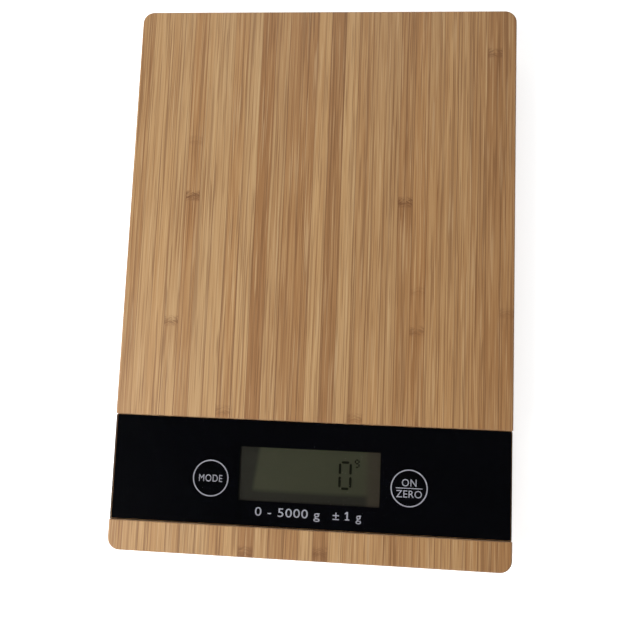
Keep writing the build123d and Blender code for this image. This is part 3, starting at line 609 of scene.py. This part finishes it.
def make_print():
    """The two keys' rings and words, and the capacity line under the display, from sizes in millimetres."""
    ink = moulded_material("pale_ink", (0.26, 0.26, 0.30), 0.8, specular=0.0)

    def words(name, text, x, y, width, height, spacing=1.0):
        lettering(name, text, (x * MM, y * MM), width * MM, height * MM, ink, spacing)

    def flat(name, outline):
        outline = [(x * MM, y * MM) for x, y in outline]
        add_piece(name, prisms(name, [outline], PRINT_Z, PRINT_Z + PRINT_T), ink)

    left, right = PRINT_X - KEY_REACH, PRINT_X + KEY_REACH
    key_ring("key_ring_left", left * MM, KEY_Y * MM, ink)
    key_ring("key_ring_right", right * MM, KEY_Y * MM, ink)
    words("key_word_left", "MODE", left, KEY_Y, 9.8, 2.9, 1.1)
    words("key_word_right_top", "ON", right, KEY_Y + 2.2, 5.9, 2.9, 1.1)
    words("key_word_right_foot", "ZERO", right, KEY_Y - 2.3, 10.4, 2.9, 1.05)
    half_w, half_d = KEY_BAR_W / 2, KEY_BAR_D / 2
    flat("key_bar_right", rectangle(right - half_w, KEY_Y - half_d, right + half_w, KEY_Y + half_d))

    words("capacity_range", "0 - 5000 g", -8.0, -99.6, 26.8, 4.6, 1.08)
    words("capacity_step_sign", "±", 12.0, -99.3, 2.6, 2.9)
    words("capacity_step_unit", "g", 21.2, -100.2, 2.2, 3.4)
    flat("capacity_step_figure", [(16.6 + x, -100.7 + y) for x, y in FIGURE_ONE])


def make_label_print():
    """A plain printed frame with three rules on the label under the case."""
    low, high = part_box("rating_label")
    ink = moulded_material("label_ink", (0.02, 0.02, 0.022), 0.5)
    inset, line = 2.0 * MM, 0.4 * MM
    left, right = low.x + inset, high.x - inset
    near, far = low.y + inset, high.y - inset
    bars = [rectangle(left, y, right, y + line) for y in (near, far - line)]
    bars += [rectangle(x, near + line, x + line, far - line) for x in (left, right - line)]
    for share in (0.25, 0.5, 0.75):
        y = near + share * (far - near)
        bars.append(rectangle(left + line, y, right - line, y + line))
    mesh = prisms("label_rules", bars, low.z - PRINT_T, low.z)
    add_piece("label_rules", mesh, ink)


def segment(middle, length, width, upright):
    """The outline of one display segment: a bar with pointed ends."""
    half, side = length / 2, width / 2
    shoulder = half - BAR_POINT_SHARE * width
    right_end = [(shoulder, -side), (half, 0), (shoulder, side)]
    outline = right_end + [(-x, -y) for x, y in right_end]
    if upright:
        outline = [(-y, x) for x, y in outline]
    return [(middle[0] + x, middle[1] + y) for x, y in outline]


def figure(name, middle, half_w, half_h, thick, rows, sides, material):
    """A display figure of level bars in rows, and of upright bars at sides, each (x, y): 1 right or up."""
    level, upright = 2 * half_w * LEVEL_BAR_SHARE, half_h * UPRIGHT_BAR_SHARE
    outlines = [segment((middle.x, middle.y + row * half_h), level, thick, False) for row in rows]
    for x, y in sides:
        outlines.append(segment((middle.x + x * half_w, middle.y + y * half_h / 2), upright, thick, True))
    low = lcd_top + 0.02 * MM
    add_piece(name, prisms(name, outlines, low, low + PRINT_T), material)


def make_display_figures():
    """The reading, a nought, with a small g for grams."""
    dark = moulded_material("display_segment", (0.0040, 0.0041, 0.0026), 0.9, specular=0.0)
    upper_left, upper_right, lower_left, lower_right = (-1, 1), (1, 1), (-1, -1), (1, -1)
    digit = Vector((15.2, -82.95)) * MM
    all_sides = (upper_left, upper_right, lower_left, lower_right)
    figure("display_digit", digit, 2.2 * MM, 5.3 * MM, 1.0 * MM, (-1, 1), all_sides, dark)
    unit = Vector((20.0, -77.9)) * MM
    g_sides = (upper_left, upper_right, lower_right)
    figure("display_unit", unit, 0.75 * MM, 1.45 * MM, 0.55 * MM, (-1, 0, 1), g_sides, dark)


def main():
    make_camera()
    make_studio()
    paint_nodes()
    make_print()
    make_display_figures()
    make_label_print()


main()
